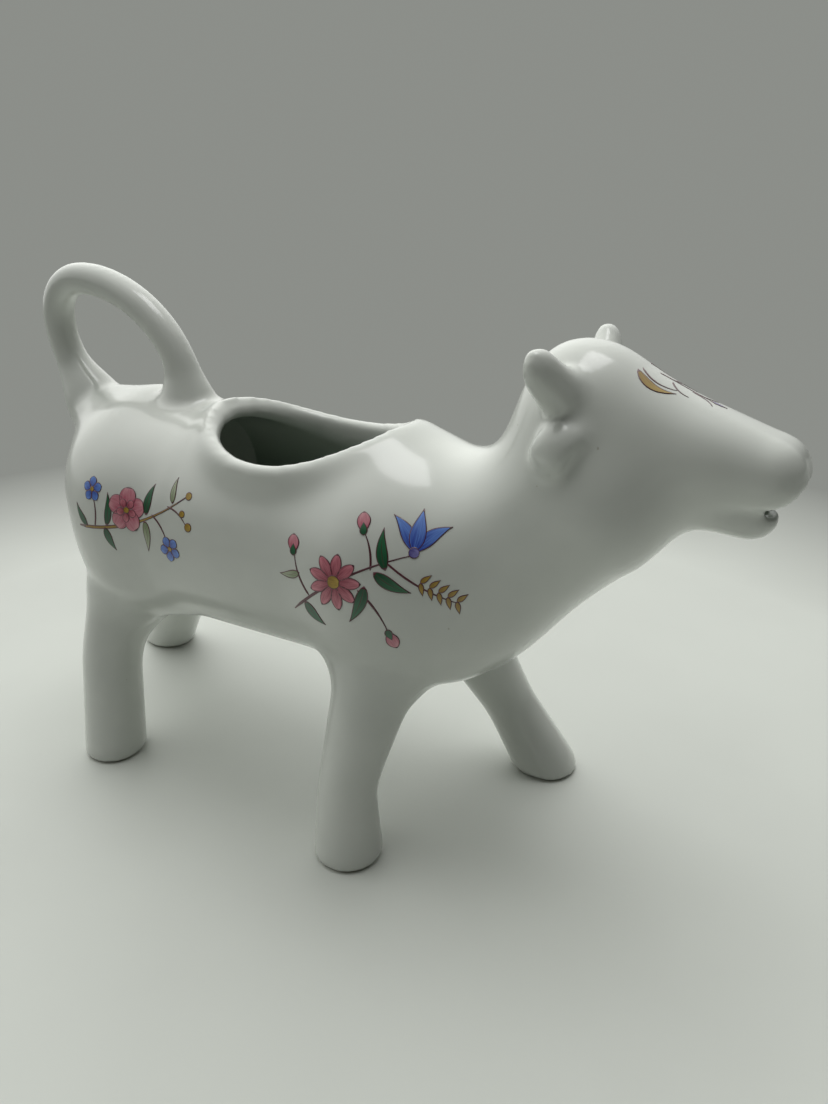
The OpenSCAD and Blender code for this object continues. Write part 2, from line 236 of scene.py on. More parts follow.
# %% One smooth skin
CLAY_GRAIN = 0.74 * MM
QUAD_FOLD = math.radians(35)
QUAD_SKEW = math.radians(50)
SHARP_EDGE = math.radians(55)
BEND_LEVELS = 2
SPONGE_SHARE = 0.5
SPONGE_ROUNDS = 12
for clay in [body_clay] + limbs:
    edit_all(clay, "EDGE")
    bpy.ops.mesh.tris_convert_to_quads(face_threshold=QUAD_FOLD, shape_threshold=QUAD_SKEW)
    bpy.ops.mesh.select_all(action="DESELECT")
    bpy.ops.mesh.edges_select_sharp(sharpness=SHARP_EDGE)
    bpy.ops.transform.edge_crease(value=1)
    done_editing()
    apply_modifier(clay, "SUBSURF", levels=BEND_LEVELS, render_levels=BEND_LEVELS)
only(body_clay, *limbs)
bpy.ops.object.join()
skin = body_clay
skin.name = "skin"
apply_modifier(skin, "REMESH", mode="VOXEL", voxel_size=CLAY_GRAIN, adaptivity=0, use_smooth_shade=True)
apply_modifier(skin, "SMOOTH", factor=SPONGE_SHARE, iterations=SPONGE_ROUNDS)
print("the skin has", len(skin.data.polygons), "faces")

# %% [markdown]
# The seams where the limbs were luted on get a second, longer sponging, and so does the ridge down
# the middle of the face. The zones are found by distance: a point of the skin that is near both the
# limb and the wall that carries it.

# %% Sponging the seams
SEAM_REACH = 3.0 * MM
HEAD_SEAM_REACH = 1.5 * MM
RIDGE_REACH = 3.5 * MM
RIDGE_X = FEET_X + 33 * MM
RIDGE_Z = 91 * MM
DAMP_LEAST = 0.02
DAMP_ROUNDS = 30
HEAD_LIMBS = ("right_ear", "left_ear", "right_horn", "left_horn")


def wall_of(limb):
    return "head_shell" if limb in HEAD_LIMBS else "body_shell"


def near_limb(places, limb, reach):
    low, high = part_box(limb)
    in_box = (places > np.array(low) - reach) & (places < np.array(high) + reach)
    return np.flatnonzero(np.all(in_box, axis=1))


skin_corners = corners(skin)
wetness = np.zeros(len(skin_corners))
for limb in PUSH_IN:
    reach = HEAD_SEAM_REACH if limb in HEAD_LIMBS else SEAM_REACH
    for index in near_limb(skin_corners, limb, reach):
        place = Vector(skin_corners[index])
        gap = max(gap_to(limb, place, reach), gap_to(wall_of(limb), place, reach))
        wetness[index] = max(wetness[index], 1 - gap / reach)
x, y, z = skin_corners.T
face_ridge = (x > RIDGE_X) & (z > RIDGE_Z) & (abs(y) < RIDGE_REACH)
wetness[face_ridge] = np.maximum(wetness[face_ridge], 1 - abs(y[face_ridge]) / RIDGE_REACH)
damp = skin.vertex_groups.new(name="damp")
for index in np.flatnonzero(wetness > DAMP_LEAST):
    damp.add([int(index)], wetness[index], "REPLACE")
apply_modifier(skin, "SMOOTH", factor=SPONGE_SHARE, iterations=DAMP_ROUNDS, vertex_group="damp")
skin.vertex_groups.clear()
skin_tree = surface_tree(skin)
print("sponged", int((wetness > DAMP_LEAST).sum()), "corners")

# %% [markdown]
# Two things are noted on the skin before it is cut. One is the normal of every corner, so that the
# light will run over the cuts as it does on one glaze. The other is how deep a corner lies inside
# the jug, where the glaze colour is painted dark as painted shade, a little greener where the glaze
# pools. A corner is inside when it faces the spine of the hollow.

# %% Normals and the painted shade of the hollow, noted on the skin
SPINE = np.array([[-66, 0, 61], [2, 0, 60], [23, 0, 79], [29, 0, 95], [50, 0, 90]]) * MM + [FEET_X, 0, 0]
HOLLOW_REACH = 24 * MM
BELLY_Z = 37 * MM
BRIM_Z = 80 * MM
BRIM_FADE = 14 * MM
BRIM_END_X = FEET_X + 20 * MM
FACING_GAIN = 2
skin_corners = corners(skin)
skin_normals = corner_normals(skin)
nearest = np.full(len(skin_corners), np.inf)
facing = np.zeros(len(skin_corners))
for a, b in zip(SPINE[:-1], SPINE[1:]):
    share = np.clip((skin_corners - a) @ (b - a) / ((b - a) @ (b - a)), 0, 1)
    away = skin_corners - (a + share[:, None] * (b - a))
    gap = np.linalg.norm(away, axis=1)
    closer = gap < nearest
    nearest[closer] = gap[closer]
    facing[closer] = (away * skin_normals).sum(axis=1)[closer] / np.maximum(gap[closer], TINY)
x, _, z = skin_corners.T
# Painted shade mask for the inside of the jug, fading out toward the brim.
brim = np.clip((BRIM_Z - z) / BRIM_FADE, 0, 1)
brim[x > BRIM_END_X] = 1
hollow = np.clip(-facing * FACING_GAIN, 0, 1) * brim * (nearest < HOLLOW_REACH) * (z > BELLY_Z)


def note_on_skin(name, kind, key, values):
    skin.data.attributes.new(name, kind, "POINT").data.foreach_set(key, values.ravel())


note_on_skin("uncut_normal", "FLOAT_VECTOR", "vector", skin_normals)
# The hollow attribute carries that painted shade to the glaze material.
note_on_skin("hollow", "FLOAT", "value", hollow)
print(int((hollow > 0.5).sum()), "corners lie in the hollow")

# %% [markdown]
# The skin is cut again where the cast pieces meet, so that the model stays an assembly of named
# pieces. A plane parts the head from the body, and near a limb each face goes to the limb or to its
# wall, whichever is nearer. The owner is kept as a material slot, and Separate by Material makes the
# cut. The border is evened out first, and an island cut off from its piece goes back to the wall.

# %% Which piece each face belongs to
EVENING_ROUNDS = 6
LIMB_SEARCH = 1.5 * MM
OWNER_REACH = 3 * MM
face_places = middles(skin)
owner = np.where(off_seam(face_places) > 0, NODES.index("head_shell"), NODES.index("body_shell"))
for limb in PUSH_IN:
    for index in near_limb(face_places, limb, LIMB_SEARCH):
        place = Vector(face_places[index])
        if gap_to(limb, place, OWNER_REACH) < gap_to(wall_of(limb), place, OWNER_REACH):
            owner[index] = NODES.index(limb)

corner_of = np.empty(len(skin.data.loops), dtype=int)
skin.data.loops.foreach_get("vertex_index", corner_of)
face_of = np.repeat(np.arange(len(face_places)), [len(face.vertices) for face in skin.data.polygons])


def evened(share):
    for _ in range(EVENING_ROUNDS):
        total = np.bincount(corner_of, share[face_of], len(skin.data.vertices))
        count = np.bincount(corner_of, minlength=len(skin.data.vertices))
        at_corner = total / np.maximum(count, 1)
        share = np.bincount(face_of, at_corner[corner_of], len(share)) / np.bincount(face_of)
    return share


def largest_patch(mask):
    label = np.where(mask, np.arange(len(mask)), -1)
    while True:
        at_corner = np.full(len(skin.data.vertices), -1)
        np.maximum.at(at_corner, corner_of, label[face_of])
        spread = label.copy()
        np.maximum.at(spread, face_of, at_corner[corner_of])
        spread[~mask] = -1
        if np.array_equal(spread, label):
            break
        label = spread
    names, sizes = np.unique(label[mask], return_counts=True)
    return label == names[sizes.argmax()]


shares = [evened((owner == number).astype(float)) for number in range(len(NODES))]
owner = np.array(shares).argmax(axis=0)
for number, node in enumerate(NODES):
    mask = owner == number
    if node in PUSH_IN:
        owner[mask & ~largest_patch(mask)] = NODES.index(wall_of(node))
    skin.data.materials.append(bpy.data.materials.new("cut_" + node))
    print(node, "gets", int((owner == number).sum()), "faces")
skin.data.polygons.foreach_set("material_index", owner.astype("int32"))
edit_all(skin)
bpy.ops.mesh.separate(type="MATERIAL")
done_editing()
pieces = {obj.data.materials[0].name.removeprefix("cut_"): obj for obj in bpy.context.selected_objects}
print("the cut made", len(pieces), "pieces")

# %% [markdown]
# A cut piece is open where it was cut. The rim of each opening is extruded a little way in under the
# glaze and made smaller, and then filled. A flat lid would show inside the jug, because the wall is
# thin and round, so the lid is subdivided and laid along the cast wall, just below its face. At the
# neck, where the wall is cut through, the outer and the inner loop are bridged instead.

# %% Closing the cut pieces
NECK_REACH = 2 * MM
LIMB_TUCK = 1.0 * MM
WALL_TUCK = 0.7 * MM
LID_SHRINK = 0.9
LID_CUTS = 2
LID_REACH = 15 * MM


def open_loops(obj):
    use = np.empty(len(obj.data.loops), dtype=int)
    obj.data.loops.foreach_get("edge_index", use)
    lonely = np.flatnonzero(np.bincount(use, minlength=len(obj.data.edges)) == 1)
    name = {}

    def root(v):
        while name.setdefault(v, v) != v:
            v = name[v]
        return v

    for edge in lonely:
        a, b = obj.data.edges[int(edge)].vertices
        name[root(a)] = root(b)
    loops = {}
    for edge in lonely:
        loops.setdefault(root(obj.data.edges[int(edge)].vertices[0]), []).append(int(edge))
    return list(loops.values())


def pick_loops(obj, *loops):
    mask = np.zeros(len(obj.data.edges), dtype=bool)
    for loop in loops:
        mask[loop] = True
    edit_picked(obj, "edges", mask)


def loop_corners(obj, loop):
    return np.unique([v for edge in loop for v in obj.data.edges[edge].vertices])


def at_neck(obj, loop):
    return np.all(abs(off_seam(corners(obj)[loop_corners(obj, loop)])) < NECK_REACH)


def tuck(obj, loop, wall, depth):
    ends = loop_corners(obj, loop)
    middle = Vector(corners(obj)[ends].mean(axis=0))
    outward = Vector(corner_normals(obj)[ends].mean(axis=0)).normalized()
    pick_loops(obj, loop)
    bpy.ops.mesh.extrude_edges_move(TRANSFORM_OT_translate={"value": outward * -depth})
    bpy.ops.transform.resize(value=(LID_SHRINK,) * 3, center_override=middle - outward * depth)
    bpy.ops.mesh.fill(use_beauty=True)
    bpy.ops.mesh.subdivide(number_cuts=LID_CUTS)
    done_editing()
    lid = np.empty(len(obj.data.vertices), dtype=bool)
    obj.data.vertices.foreach_get("select", lid)
    places = corners(obj)
    for index in np.flatnonzero(lid):
        start = Vector(places[index]) + outward * LID_REACH
        place, normal, _, _ = cast_tree[wall].ray_cast(start, -outward, 2 * LID_REACH)
        if place is not None and normal.dot(outward) > 0:
            places[index] = place - normal * depth
    obj.data.vertices.foreach_set("co", places.ravel())
    obj.data.update()


def close_piece(node, piece):
    wall, depth = (wall_of(node), LIMB_TUCK) if node in PUSH_IN else (node, WALL_TUCK)
    loops = open_loops(piece)
    neck = [loop for loop in loops if at_neck(piece, loop)]
    print(node, "has open loops of", [len(loop) for loop in loops], "edges,", len(neck), "at the neck")
    if len(neck) == 2:
        pick_loops(piece, *neck)
        bpy.ops.mesh.bridge_edge_loops()
        done_editing()
    for _ in loops:
        still_open = open_loops(piece)
        if still_open:
            tuck(piece, still_open[0], wall, depth)


def face_outward(piece):
    edit_all(piece)
    bpy.ops.mesh.normals_make_consistent(inside=False)
    bpy.ops.mesh.faces_shade_smooth()
    done_editing()
    normals = read_vectors(piece.data.attributes["uncut_normal"].data, "vector")
    outward = 0.0
    for face in piece.data.polygons:
        outward += face.area * face.normal.dot(Vector(normals[face.vertices[0]]))
    if outward < 0:
        edit_all(piece)
        bpy.ops.mesh.flip_normals()
        done_editing()
    piece.data.normals_split_custom_set_from_vertices([Vector(n).normalized() for n in normals])
    piece.data.attributes.remove(piece.data.attributes["uncut_normal"])


for node, piece in pieces.items():
    close_piece(node, piece)
    face_outward(piece)
    triangles = sum(len(face.vertices) - 2 for face in piece.data.polygons)
    print(node, "closed:", not open_loops(piece), "with", triangles, "triangles")

# %% [markdown]
# The prints were laid on the finished glaze as thin enamel. Every petal, leaf and stem here is one
# flat blade: a grid bent along a curved middle line, with a width that follows a rule. Its outer
# faces are the dark drawn line and its inner faces are the colour. Sizes are in millimetres, and a
# blade's rise says how far it lies above the glaze, so that one blade can lie on another.

# %% A blade of enamel
DRAWN_LINE = 0.17
BLADE_ROWS = 14
LINE_STEP = 0.9
ACROSS = np.array([-1, -LINE_STEP, -0.45, -0.05, 0.05, 0.45, LINE_STEP, 1])
NARROWEST = 0.04
LEAST_INNER, MOST_INNER = 0.15, 0.92
STEM_RISE, LEAF_RISE, PETAL_RISE, CUP_RISE, HEART_RISE, TOP_RISE = 0.0, 0.02, 0.04, 0.05, 0.06, 0.08
PROFILES = {
    "petal": lambda t: np.sin(math.pi * t**1.25) ** 0.7,
    "pointed": lambda t: np.sin(math.pi * t**0.85) * (1 - 0.35 * t),
    "leaf": lambda t: np.sin(math.pi * t**0.75) ** 0.9 * (1 - 0.3 * t),
    "bead": lambda t: np.sqrt(np.clip(1 - (2 * t - 1) ** 2, 0, 1)),
    "stem": lambda t: np.minimum(1, 0.35 + 1.1 * (1 - t)) * np.minimum(1, 8 * t + 0.4),
}
ENAMELS = ["ink", "blue", "crimson", "pink", "green", "sage", "ochre", "violet"]


def material_named(name):
    return bpy.data.materials.get(name) or bpy.data.materials.new(name)


def blade(kind, start, end, width, bend, enamel, rise, rib=False):
    columns = len(ACROSS) - 1
    bpy.ops.mesh.primitive_grid_add(x_subdivisions=columns, y_subdivisions=BLADE_ROWS, size=2)
    obj = bpy.context.active_object
    start, end = np.array(start, dtype=float), np.array(end, dtype=float)
    along = end - start
    middle = (start + end) / 2 + np.array([-along[1], along[0]]) * bend
    column, row, _ = (corners(obj).T + 1) / 2
    t = row[:, None]
    line = (1 - t) ** 2 * start + 2 * t * (1 - t) * middle + t**2 * end
    way = 2 * (1 - t) * (middle - start) + 2 * t * (end - middle)
    way /= np.maximum(np.linalg.norm(way, axis=1), TINY)[:, None]
    half = np.maximum(PROFILES[kind](row), NARROWEST) * width / 2
    inner = np.clip(1 - DRAWN_LINE / half, LEAST_INNER, MOST_INNER)
    step = ACROSS[np.rint(column * columns).astype(int)]
    step = np.where(abs(step) == 1, step, step * inner / LINE_STEP)
    spot = line + (half * step)[:, None] * np.stack([-way[:, 1], way[:, 0]], axis=1)
    obj.data.vertices.foreach_set("co", np.column_stack([spot, np.full(len(spot), rise)]).ravel())
    for name in ENAMELS:
        obj.data.materials.append(material_named("enamel_" + name))
    for number, face in enumerate(obj.data.polygons):
        up, over = divmod(number, columns)
        drawn = over in (0, columns - 1) or up in (0, BLADE_ROWS - 1) or (rib and over == columns // 2)
        face.material_index = ENAMELS.index("ink" if drawn else enamel)
    return obj


def compass(turn):
    return np.array([math.cos(math.radians(turn)), math.sin(math.radians(turn))])


def ring_of(kind, centre, count, reach, width, enamel, turn, rise=PETAL_RISE, inner=0.35):
    blades = []
    for number in range(count):
        way = compass(turn + 360 * number / count)
        blades.append(blade(kind, centre + way * inner, centre + way * reach, width, 0.0, enamel, rise))
    return blades


def bead(centre, across, enamel, rise=HEART_RISE):
    half = np.array([across / 2, 0])
    return blade("bead", np.array(centre) - half, np.array(centre) + half, across, 0.0, enamel, rise)


def stem(start, end, bend, width, enamel="ink"):
    return blade("stem", start, end, width, bend, enamel, STEM_RISE)


def ribbed_leaf(start, end, width, bend, enamel="green"):
    return blade("leaf", start, end, width, bend, enamel, LEAF_RISE, True)


# %% [markdown]
# A sprig is drawn in millimetres on a flat sheet, with the stem running toward the cow's head. The
# flowers, ears of wheat and leaves are a common garden mixture, laid in the order that such prints
# have: stems first, leaves over them, petals over the leaves, and the flower's heart on top.

# %% Two sprigs, a scroll and an eye, drawn flat
WHEAT_PAIRS = 5


def haunch_sprig():
    rose = np.array([-3.0, 0.2])
    drawn = [
        stem((-17.5, -5.6), (12.6, 5.4), -0.16, 0.8, "ochre"),
        stem((-12.0, -5.0), (-12.6, 2.2), -0.2, 0.4),
        stem((4.0, 0.4), (8.6, -5.2), 0.2, 0.4),
        stem((8.0, 2.8), (13.8, -0.2), 0.2, 0.35),
        ribbed_leaf((-14.4, -5.2), (-18.2, -0.6), 2.2, 0.14),
        ribbed_leaf((-9.0, -4.6), (-6.4, -9.4), 2.3, -0.12),
        ribbed_leaf((-8.6, -4.2), (-8.4, 3.2), 2.2, -0.16),
        ribbed_leaf((2.4, 0.0), (3.6, 6.8), 2.4, 0.14),
        ribbed_leaf((2.0, -1.2), (2.8, -7.8), 2.3, 0.14, "sage"),
        ribbed_leaf((9.4, 3.6), (9.2, 9.0), 1.8, 0.14, "sage"),
        bead((14.4, -0.4), 1.9, "ochre", PETAL_RISE),
        bead((13.4, 5.8), 1.7, "ochre", PETAL_RISE),
        bead((12.4, 2.0), 1.5, "ochre", PETAL_RISE),
    ]
    drawn += ring_of("bead", rose, 5, 4.9, 4.3, "pink", 18, PETAL_RISE, 0.6)
    drawn += ring_of("petal", rose, 5, 2.7, 1.9, "crimson", 54, HEART_RISE, 0.3)
    for centre, turn in (((-12.8, 3.2), 20), ((9.2, -6.0), 50)):
        drawn += ring_of("petal", np.array(centre), 5, 2.8, 2.2, "blue", turn)
        drawn.append(bead(centre, 1.2, "ochre"))
    return drawn + [bead(rose, 1.5, "ochre", TOP_RISE)]


def shoulder_sprig():
    daisy = np.array([-6.6, -4.6])
    lily = np.array([7.6, 3.0])
    drawn = [
        stem((-15.4, -12.4), (7.6, 2.6), 0.12, 0.55),
        stem((-1.8, -5.2), (4.4, -12.4), 0.14, 0.45),
        stem((-11.8, -8.6), (-15.6, -1.2), 0.16, 0.4),
        stem((0.2, -1.2), (-1.8, 5.2), -0.16, 0.4),
        stem((2.6, 0.9), (16.6, -4.9), -0.12, 0.4),
        ribbed_leaf((-12.8, -10.0), (-8.0, -13.6), 2.4, -0.14),
        ribbed_leaf((-0.6, -4.2), (-3.0, -11.6), 2.7, 0.14),
        ribbed_leaf((0.8, -1.4), (8.0, -4.2), 2.7, -0.14),
        ribbed_leaf((3.0, -0.8), (1.6, 6.6), 2.5, 0.14),
        ribbed_leaf((-14.2, -4.6), (-18.8, -5.8), 1.9, 0.14, "sage"),
        blade("pointed", lily, lily + np.array([0.4, 7.6]), 3.6, 0.0, "blue", CUP_RISE),
        blade("pointed", lily, lily + np.array([6.2, 5.4]), 3.0, 0.16, "blue", PETAL_RISE),
        blade("pointed", lily, lily + np.array([-4.8, 6.0]), 3.0, -0.16, "blue", PETAL_RISE),
        bead(lily, 2.0, "violet"),
    ]
    for number in range(WHEAT_PAIRS):
        grain = np.array([9.4 + 1.7 * number, -2.1 - 0.62 * number])
        for tip in ((1.9, 1.7), (0.7, -2.4)):
            drawn.append(blade("leaf", grain, grain + np.array(tip), 1.2, 0.0, "ochre", LEAF_RISE))
    for bud, turn in (((-16.0, -0.2), 95), ((-2.2, 6.2), 100), ((4.8, -13.2), 300)):
        way = compass(turn)
        bud = np.array(bud)
        drawn.append(blade("petal", bud - way * 1.2, bud + way * 2.6, 2.6, 0.0, "pink", PETAL_RISE))
        drawn.append(blade("leaf", bud - way * 1.5, bud + way * 0.8, 1.7, 0.0, "green", CUP_RISE))
    drawn += ring_of("petal", daisy, 9, 5.4, 2.3, "crimson", 6)
    return drawn + [bead(daisy, 2.6, "ochre")]


def brow_scroll():
    return [
        stem((-5.6, 0.0), (3.8, 0.5), 0.16, 0.4),
        stem((-3.0, 0.9), (0.8, 3.0), 0.34, 0.36),
        stem((-3.0, -0.5), (0.6, -2.6), -0.34, 0.36),
        stem((0.4, 1.0), (4.6, 2.3), -0.3, 0.36),
        stem((0.4, 0.4), (4.4, -1.7), 0.3, 0.36),
        blade("leaf", (3.6, 0.5), (6.4, 0.6), 1.0, 0.0, "violet", LEAF_RISE),
    ]


def eye_crescent():
    return [
        blade("leaf", (-3.6, 1.2), (3.7, 1.2), 1.9, -0.42, "ochre", LEAF_RISE),
        stem((-3.2, 2.3), (3.4, 2.1), -0.36, 0.34),
    ]


# %% [markdown]
# Laying on: the sheet stands off the cow, and each of its points is sent straight in until it meets
# the skin. Solidify then thickens the enamel inward, so its underside is sunk in the glaze and no
# edge hangs free. The left side's prints are the mirror of the right side's.

# %% Laying the prints on the glaze
ENAMEL_LIFT = 0.05
ENAMEL_DEPTH = 0.15 * MM
SHEET_OFF = 14
SHEET_REACH = 30 * MM
SIDE_PRINTS = {
    "haunch_sprig_": (haunch_sprig, (-32.5, -24.9, 67.0), (0.04, -0.98, 0.21), (1, 0, 0)),
    "shoulder_sprig_": (shoulder_sprig, (25.6, -23.5, 68.0), (0.30, -0.93, 0.20), (1, 0, 0)),
    "eye_": (eye_crescent, (67.3, -4.6, 101.0), (0.42, -0.40, 0.81), (1, 0, -0.52)),
}


def lay_on_glaze(name, blades, centre, outward, toward_head, mirrored=False):
    only(*blades)
    bpy.ops.object.join()
    sheet = bpy.context.active_object
    sheet.name = name
    hand = np.array([1, -1, 1]) if mirrored else np.array([1, 1, 1])
    outward = Vector(hand * outward).normalized()
    across = (Vector(toward_head) - Vector(toward_head).dot(outward) * outward).normalized()
    up = outward.cross(across)
    if up.z < 0:
        up = -up
    origin = Vector(hand * centre) * MM
    laid = []
    for u, v, rise in corners(sheet):
        start = origin + (across * u + up * v + outward * SHEET_OFF) * MM
        place, normal, _, _ = skin_tree.ray_cast(start, -outward, SHEET_REACH)
        if place is None:
            place, normal, _, _ = skin_tree.find_nearest(start - outward * SHEET_OFF * MM)
        laid.append(place + normal * (rise + ENAMEL_LIFT) * MM)
    sheet.data.vertices.foreach_set("co", np.array(laid).ravel())
    edit_all(sheet)
    bpy.ops.mesh.normals_make_consistent(inside=False)
    bpy.ops.mesh.faces_shade_smooth()
    done_editing()
    flips = [face.normal.dot(skin_tree.find_nearest(face.center)[1]) < 0 for face in sheet.data.polygons]
    edit_picked(sheet, "polygons", flips)
    bpy.ops.mesh.flip_normals()
    done_editing()
    apply_modifier(sheet, "SOLIDIFY", thickness=ENAMEL_DEPTH, offset=-1)
    print(name, "is", len(blades), "blades,", len(sheet.data.polygons), "faces")
    return sheet


prints = []
for side, mirrored in (("right", False), ("left", True)):
    for name, (draw, *placing) in SIDE_PRINTS.items():
        prints.append(lay_on_glaze(name + side, draw(), *placing, mirrored))
prints.append(lay_on_glaze("brow_scroll", brow_scroll(), (72, 0, 99.5), (0.36, 0, 0.93), (1, 0, 0)))

# %% [markdown]
# The glaze is a near white with a breath of green. Three faint things keep it from looking like
# plastic: soft clouding, a scatter of tiny iron specks, and a ripple in the surface. Inside the jug
# the colour is painted dark as painted shade, a little greener where the glaze pools, and the soles
# are wiped bare so that they don't stick in the kiln. Every material is wired from nodes, so a small
# class makes and joins them.

# %% Glazed porcelain
GLAZE = (0.60, 0.622, 0.585, 1)
GLAZE_CLOUD = (0.66, 0.678, 0.64, 1)
# Painted shade for the inside of the jug, with a little greener tint of pooled glaze.
POOL_AND_SHADE = (0.30, 0.36, 0.30, 1)
BISQUE = (0.74, 0.71, 0.65, 1)
SPECK = (0.46, 0.45, 0.39, 1)
CLOUD_SCALE, CLOUD_DETAIL, CLOUD_BAND = 38, 3.0, (0.35, 0.65)
SPECK_SCALE, SPECK_DETAIL, SPECK_BAND = 900, 1.0, (0.81, 0.87)
RIPPLE_SCALE, RIPPLE_DETAIL, RIPPLE_SHARE, RIPPLE_DEPTH = 140, 2.0, 0.12, 0.12 * MM
SOLE_BAND = (0.8 * MM, 0.4 * MM)
GLAZE_ROUGH, BISQUE_ROUGH = 0.2, 0.85
GLAZE_COAT, COAT_ROUGH = 0.4, 0.09


def set_inputs(node, values):
    for key, value in values.items():
        node.inputs[key].default_value = value


class Wiring:
    def __init__(self, owner):
        owner.use_nodes = True
        self.tree = owner.node_tree
        self.places = self.node("ShaderNodeTexCoord")

    def node(self, kind, **settings):
        made = self.tree.nodes.new(kind)
        for key, value in settings.items():
            setattr(made, key, value)
        return made

    def join(self, out, into):
        self.tree.links.new(out, into)

    def ranged(self, value, low, high, to_low=0.0, to_high=1.0):
        made = self.node("ShaderNodeMapRange")
        set_inputs(made, {"From Min": low, "From Max": high, "To Min": to_low, "To Max": to_high})
        self.join(value, made.inputs["Value"])
        return made.outputs["Result"]

    def mixed(self, share, first, second):
        made = self.node("ShaderNodeMix", data_type="RGBA")
        for number, colour in ((6, first), (7, second)):
            if isinstance(colour, tuple):
                made.inputs[number].default_value = colour
            else:
                self.join(colour, made.inputs[number])
        self.join(share, made.inputs[0])
        return made.outputs[2]

    def surface(self, share, first, second, output):
        blend = self.node("ShaderNodeMixShader")
        for number, out in enumerate((share, first, second)):
            self.join(out, blend.inputs[number])
        self.join(blend.outputs["Shader"], self.tree.nodes[output].inputs["Surface"])


class Recipe(Wiring):
    def __init__(self, name):
        self.material = material_named(name)
        super().__init__(self.material)
        self.shader = self.tree.nodes["Principled BSDF"]

    def noise(self, scale, detail):
        made = self.node("ShaderNodeTexNoise")
        set_inputs(made, {"Scale": scale, "Detail": detail})
        self.join(self.places.outputs["Object"], made.inputs["Vector"])
        return made.outputs["Fac"]

    def bump(self, value, strength, distance):
        made = self.node("ShaderNodeBump")
        set_inputs(made, {"Strength": strength, "Distance": distance})
        self.join(value, made.inputs["Height"])
        self.join(made.outputs["Normal"], self.shader.inputs["Normal"])

    def axis(self, where, name):
        split = self.node("ShaderNodeSeparateXYZ")
        self.join(self.places.outputs[where], split.inputs[0])
        return split.outputs[name]


glaze = Recipe("glazed_porcelain")
cloud = glaze.ranged(glaze.noise(CLOUD_SCALE, CLOUD_DETAIL), *CLOUD_BAND)
speck = glaze.ranged(glaze.noise(SPECK_SCALE, SPECK_DETAIL), *SPECK_BAND)
inside = glaze.node("ShaderNodeAttribute", attribute_name="hollow").outputs["Fac"]
sole = glaze.ranged(glaze.axis("Object", "Z"), *SOLE_BAND)
colour = glaze.mixed(cloud, GLAZE, GLAZE_CLOUD)
colour = glaze.mixed(speck, colour, SPECK)
# Painted shade: the hollow attribute darkens the glaze inside the jug, a little greener where it pools.
colour = glaze.mixed(inside, colour, POOL_AND_SHADE)
glaze.join(glaze.mixed(sole, colour, BISQUE), glaze.shader.inputs["Base Color"])
glaze.join(glaze.ranged(sole, 0, 1, GLAZE_ROUGH, BISQUE_ROUGH), glaze.shader.inputs["Roughness"])
glaze.join(glaze.ranged(sole, 0, 1, GLAZE_COAT, 0.0), glaze.shader.inputs["Coat Weight"])
glaze.shader.inputs["Coat Roughness"].default_value = COAT_ROUGH
glaze.bump(glaze.noise(RIPPLE_SCALE, RIPPLE_DETAIL), RIPPLE_SHARE, RIPPLE_DEPTH)
for node, piece in pieces.items():
    piece.name = "porcelain_" + node
    piece.data.materials.clear()
    piece.data.materials.append(glaze.material)
    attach(piece, "root")
    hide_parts(node)

# %% [markdown]
# Enamel colours are painted wet, so each blade runs from a deep root to a paler tip, with fine
# brush streaks along it. The grid's own UV carries both: up the blade is the run, across it are the
# streaks.

# %% Enamels
ENAMEL_COLOURS = {
    "ink": ((0.10, 0.018, 0.03, 1), (0.06, 0.012, 0.02, 1)),
    "blue": ((0.03, 0.06, 0.36, 1), (0.16, 0.32, 0.78, 1)),
    "crimson": ((0.22, 0.012, 0.04, 1), (0.66, 0.24, 0.29, 1)),
    "pink": ((0.42, 0.06, 0.12, 1), (0.66, 0.32, 0.36, 1)),
    "green": ((0.012, 0.07, 0.03, 1), (0.03, 0.17, 0.075, 1)),
    "sage": ((0.16, 0.22, 0.10, 1), (0.50, 0.54, 0.40, 1)),
    "ochre": ((0.26, 0.15, 0.015, 1), (0.50, 0.34, 0.06, 1)),
    "violet": ((0.07, 0.06, 0.24, 1), (0.26, 0.24, 0.52, 1)),
}
STREAK_STRETCH = (14, 1.6, 1)
STREAK_BAND = (0.3, 0.7)
STREAK_PULL = (-0.35, 0.4)
RUN_SHARE = 0.85
STREAK_BUMP, STREAK_DEPTH = 0.2, 0.02 * MM
ENAMEL_SHINE = {"Roughness": 0.28, "Coat Weight": 0.5, "Coat Roughness": 0.1}
for name, (root_colour, tip_colour) in ENAMEL_COLOURS.items():
    enamel = Recipe("enamel_" + name)
    stretch = enamel.node("ShaderNodeMapping")
    set_inputs(stretch, {"Scale": STREAK_STRETCH})
    enamel.join(enamel.places.outputs["UV"], stretch.inputs["Vector"])
    streak = enamel.node("ShaderNodeTexNoise")
    set_inputs(streak, {"Scale": 1.0})
    enamel.join(stretch.outputs["Vector"], streak.inputs["Vector"])
    run = enamel.node("ShaderNodeMath", operation="MULTIPLY_ADD")
    enamel.join(enamel.axis("UV", "Y"), run.inputs[0])
    run.inputs[1].default_value = RUN_SHARE
    enamel.join(enamel.ranged(streak.outputs["Fac"], *STREAK_BAND, *STREAK_PULL), run.inputs[2])
    painted = enamel.mixed(enamel.ranged(run.outputs[0], 0.0, 1.0), root_colour, tip_colour)
    enamel.join(painted, enamel.shader.inputs["Base Color"])
    set_inputs(enamel.shader, ENAMEL_SHINE)
    enamel.bump(streak.outputs["Fac"], STREAK_BUMP, STREAK_DEPTH)
for sheet in prints:
    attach(sheet, "root")
print("dressed", len(pieces), "pieces and", len(prints), "prints")

# %% [markdown]
# The cow stands on a pale cloth in front of a grey wall, with no line between them. The cloth's
# colour runs into the wall's grey with distance from the cow, and the world shows the camera that
# same grey, so only the soft change of tone is seen.

